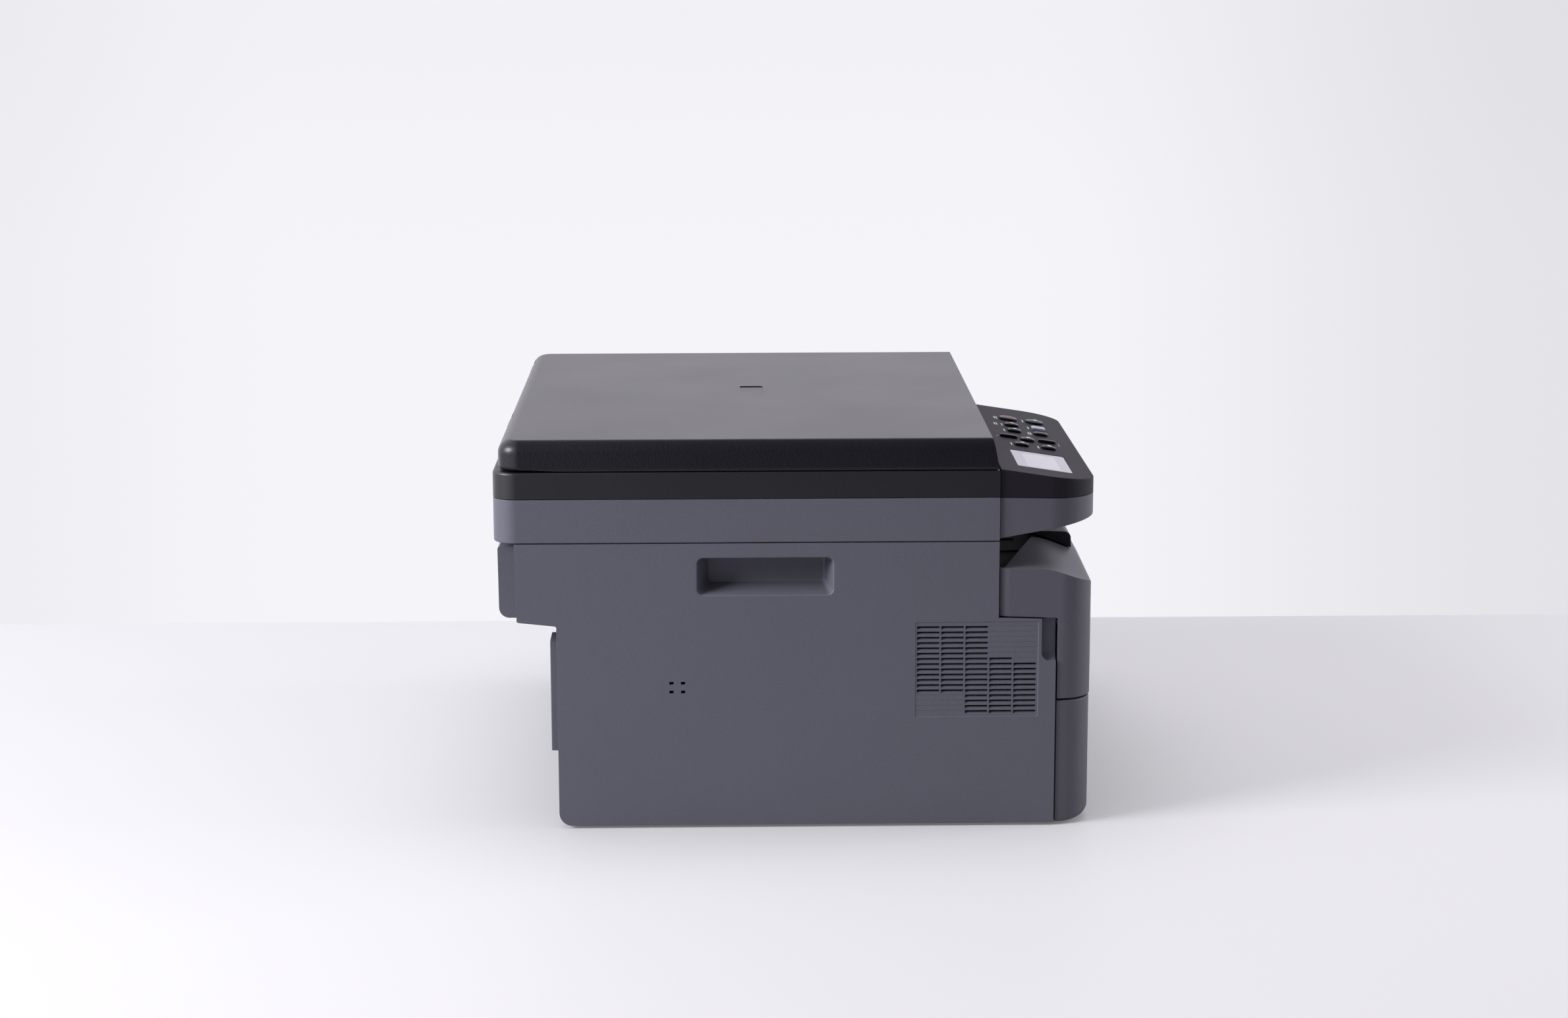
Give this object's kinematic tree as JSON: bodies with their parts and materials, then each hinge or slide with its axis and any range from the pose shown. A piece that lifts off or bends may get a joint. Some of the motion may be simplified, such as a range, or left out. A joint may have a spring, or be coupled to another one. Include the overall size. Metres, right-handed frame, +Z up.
{
  "type": "multifunction laser printer",
  "caption": "Desktop multifunction laser printer: flatbed scanner and lid over a print engine, tilted control panel, front cover and paper cassette, rear door.",
  "frame": {"origin": "centre of the footprint at the height of the table", "axes": "+X to the printer's right, -Y towards its front, +Z up"},
  "size_m": [0.41, 0.3992, 0.263],
  "materials": {
    "body_grey": "fine matt moulded texture",
    "front_grey": "fine matt moulded texture",
    "lid_grey": "fine matt moulded grain with a soft sheen",
    "rim_black": "satin",
    "panel_grey": "satin",
    "inner_black": "matt",
    "key_black": "smooth",
    "stop_red": "smooth",
    "start_green": "smooth",
    "lit_key": "smooth, pale, lit",
    "display": "clear cover over a pale unlit display",
    "glass": "polished",
    "white_sheet": "smooth white sheet over foam",
    "steel": "plain sheet",
    "rubber": "matt",
    "circuit_board": "coated",
    "drum_coating": "smooth coating",
    "roller_sleeve": "smooth sleeve",
    "gear_white": "natural acetal"
  },
  "bodies": {
    "printer_body": {"bottom_pan": "inner_black", "engine_frame": "inner_black", "left_side_cover": "body_grey", "right_side_cover": "body_grey", "rear_panel": "body_grey", "rear_lower_cover": "body_grey", "output_tray": "inner_black", "scanner_housing": "body_grey", "scanner_top_frame": "rim_black", "flatbed_glass": "glass", "scan_guide_rod": "steel", "left_lid_hinge": "inner_black", "right_lid_hinge": "inner_black", "control_panel": "panel_grey", "display_window": "display", "panel_board": "circuit_board", "panel_lower_cover": "body_grey", "toner_cartridge": "inner_black", "drum_unit": "inner_black", "laser_unit": "inner_black", "fuser_frame": "inner_black", "main_motor": "steel", "main_board": "circuit_board", "power_supply": "circuit_board", "power_inlet": "inner_black", "data_port": "steel", "fan_frame": "inner_black"},
    "lid": {"lid": "lid_grey", "lid_pad": "white_sheet"},
    "scan_carriage": {"scan_carriage": "inner_black"},
    "front_cover": {"front_cover": "front_grey"},
    "paper_support_flap": {"paper_support_flap": "key_black"},
    "manual_feed_cover": {"manual_feed_cover": "front_grey"},
    "cassette": {"cassette_front": "front_grey", "cassette_tray": "inner_black"},
    "lift_plate": {"lift_plate": "steel"},
    "left_width_guide": {"left_width_guide": "inner_black"},
    "right_width_guide": {"right_width_guide": "inner_black"},
    "length_guide": {"length_guide": "inner_black"},
    "rear_cover": {"rear_cover": "body_grey"},
    "pickup_roller": {"pickup_roller": "rubber"},
    "photo_drum": {"photo_drum": "drum_coating"},
    "transfer_roller": {"transfer_roller": "rubber"},
    "heat_roller": {"heat_roller": "roller_sleeve"},
    "pressure_roller": {"pressure_roller": "rubber"},
    "exit_rollers": {"exit_rollers": "rubber"},
    "drive_gear": {"drive_gear": "gear_white"},
    "motor_pinion": {"motor_pinion": "gear_white"},
    "cooling_fan": {"cooling_fan": "inner_black"},
    "stop_key": {"stop_key": "stop_red"},
    "menu_key": {"menu_key": "key_black"},
    "clear_key": {"clear_key": "key_black"},
    "up_key": {"up_key": "key_black"},
    "ok_key": {"ok_key": "key_black"},
    "back_key": {"back_key": "key_black"},
    "start_key": {"start_key": "start_green"},
    "wireless_key": {"wireless_key": "lit_key"},
    "copy_key": {"copy_key": "key_black"},
    "down_key": {"down_key": "key_black"},
    "options_key": {"options_key": "key_black"}
  },
  "joints": [
    {"name": "lid_hinge", "type": "hinge", "parent": "printer_body", "child": "lid", "pos_m": [0, 0.1928, 0.2502], "axis": [-1, 0, 0], "range_deg": [0, 95]},
    {"name": "front_cover_hinge", "type": "hinge", "parent": "printer_body", "child": "front_cover", "pos_m": [0, -0.1955, 0.0912], "axis": [1, 0, 0], "range_deg": [0, 90]},
    {"name": "support_flap_hinge", "type": "hinge", "parent": "front_cover", "child": "paper_support_flap", "pos_m": [0, -0.1684, 0.1808], "axis": [-1, 0, 0], "range_deg": [0, 45]},
    {"name": "manual_feed_hinge", "type": "hinge", "parent": "front_cover", "child": "manual_feed_cover", "pos_m": [0, -0.1964, 0.0946], "axis": [1, 0, 0], "range_deg": [0, 70]},
    {"name": "rear_cover_hinge", "type": "hinge", "parent": "printer_body", "child": "rear_cover", "pos_m": [0, 0.1905, 0.1446], "axis": [-1, 0, 0], "range_deg": [0, 85]},
    {"name": "cassette_slide", "type": "slide", "parent": "printer_body", "child": "cassette", "axis": [0, -1, 0], "range_m": [0, 0.26]},
    {"name": "lift_plate_hinge", "type": "hinge", "parent": "cassette", "child": "lift_plate", "pos_m": [0, 0.02, 0.0098], "axis": [-1, 0, 0], "range_deg": [0, 20]},
    {"name": "left_width_guide_slide", "type": "slide", "parent": "cassette", "child": "left_width_guide", "axis": [1, 0, 0], "range_m": [0, 0.032]},
    {"name": "right_width_guide_slide", "type": "slide", "parent": "cassette", "child": "right_width_guide", "axis": [-1, 0, 0], "range_m": [0, 0.032]},
    {"name": "length_guide_slide", "type": "slide", "parent": "cassette", "child": "length_guide", "axis": [0, -1, 0], "range_m": [0, 0.084]},
    {"name": "scan_carriage_slide", "type": "slide", "parent": "printer_body", "child": "scan_carriage", "axis": [1, 0, 0], "range_m": [0, 0.29]},
    {"name": "drive_gear_spin", "type": "hinge", "parent": "printer_body", "child": "drive_gear", "pos_m": [0, 0.004, 0.1], "axis": [1, 0, 0], "continuous": true},
    {"name": "motor_pinion_spin", "type": "hinge", "parent": "printer_body", "child": "motor_pinion", "pos_m": [0, 0.04, 0.1], "axis": [1, 0, 0], "continuous": true},
    {"name": "photo_drum_spin", "type": "hinge", "parent": "printer_body", "child": "photo_drum", "pos_m": [0, 0, 0.1222], "axis": [1, 0, 0], "continuous": true},
    {"name": "transfer_roller_spin", "type": "hinge", "parent": "printer_body", "child": "transfer_roller", "pos_m": [0, 0, 0.1028], "axis": [1, 0, 0], "continuous": true},
    {"name": "heat_roller_spin", "type": "hinge", "parent": "printer_body", "child": "heat_roller", "pos_m": [0, 0.112, 0.1302], "axis": [1, 0, 0], "continuous": true},
    {"name": "pressure_roller_spin", "type": "hinge", "parent": "printer_body", "child": "pressure_roller", "pos_m": [0, 0.112, 0.1078], "axis": [1, 0, 0], "continuous": true},
    {"name": "pickup_roller_spin", "type": "hinge", "parent": "printer_body", "child": "pickup_roller", "pos_m": [0, -0.113, 0.0955], "axis": [1, 0, 0], "continuous": true},
    {"name": "exit_rollers_spin", "type": "hinge", "parent": "printer_body", "child": "exit_rollers", "pos_m": [0, 0.131, 0.1775], "axis": [1, 0, 0], "continuous": true},
    {"name": "cooling_fan_spin", "type": "hinge", "parent": "printer_body", "child": "cooling_fan", "pos_m": [0, -0.1215, 0.1085], "axis": [1, 0, 0], "continuous": true},
    {"name": "stop_key_press", "type": "slide", "parent": "printer_body", "child": "stop_key", "axis": [0, 0.1526, -0.9883], "range_m": [0, 0.0007], "stiffness_N_per_m": 600, "springref_m": -0.001},
    {"name": "menu_key_press", "type": "slide", "parent": "printer_body", "child": "menu_key", "axis": [0, 0.1526, -0.9883], "range_m": [0, 0.0007], "stiffness_N_per_m": 600, "springref_m": -0.001},
    {"name": "clear_key_press", "type": "slide", "parent": "printer_body", "child": "clear_key", "axis": [0, 0.1526, -0.9883], "range_m": [0, 0.0007], "stiffness_N_per_m": 600, "springref_m": -0.001},
    {"name": "up_key_press", "type": "slide", "parent": "printer_body", "child": "up_key", "axis": [0, 0.1526, -0.9883], "range_m": [0, 0.0007], "stiffness_N_per_m": 600, "springref_m": -0.001},
    {"name": "ok_key_press", "type": "slide", "parent": "printer_body", "child": "ok_key", "axis": [0, 0.1526, -0.9883], "range_m": [0, 0.0007], "stiffness_N_per_m": 600, "springref_m": -0.001},
    {"name": "back_key_press", "type": "slide", "parent": "printer_body", "child": "back_key", "axis": [0, 0.1526, -0.9883], "range_m": [0, 0.0007], "stiffness_N_per_m": 600, "springref_m": -0.001},
    {"name": "start_key_press", "type": "slide", "parent": "printer_body", "child": "start_key", "axis": [0, 0.1526, -0.9883], "range_m": [0, 0.0007], "stiffness_N_per_m": 600, "springref_m": -0.001},
    {"name": "wireless_key_press", "type": "slide", "parent": "printer_body", "child": "wireless_key", "axis": [0, 0.1526, -0.9883], "range_m": [0, 0.0007], "stiffness_N_per_m": 600, "springref_m": -0.001},
    {"name": "copy_key_press", "type": "slide", "parent": "printer_body", "child": "copy_key", "axis": [0, 0.1526, -0.9883], "range_m": [0, 0.0007], "stiffness_N_per_m": 600, "springref_m": -0.001},
    {"name": "down_key_press", "type": "slide", "parent": "printer_body", "child": "down_key", "axis": [0, 0.1526, -0.9883], "range_m": [0, 0.0007], "stiffness_N_per_m": 600, "springref_m": -0.001},
    {"name": "options_key_press", "type": "slide", "parent": "printer_body", "child": "options_key", "axis": [0, 0.1526, -0.9883], "range_m": [0, 0.0007], "stiffness_N_per_m": 600, "springref_m": -0.001}
  ],
  "couplings": [
    {"joint": "motor_pinion_spin", "follows": "drive_gear_spin", "ratio": -5},
    {"joint": "photo_drum_spin", "follows": "drive_gear_spin", "ratio": 1},
    {"joint": "transfer_roller_spin", "follows": "drive_gear_spin", "ratio": -1.7143},
    {"joint": "heat_roller_spin", "follows": "drive_gear_spin", "ratio": 1},
    {"joint": "pressure_roller_spin", "follows": "drive_gear_spin", "ratio": -1.2},
    {"joint": "pickup_roller_spin", "follows": "drive_gear_spin", "ratio": 1.1429},
    {"joint": "exit_rollers_spin", "follows": "drive_gear_spin", "ratio": 1.7647},
    {"joint": "right_width_guide_slide", "follows": "left_width_guide_slide", "ratio": 1}
  ]
}
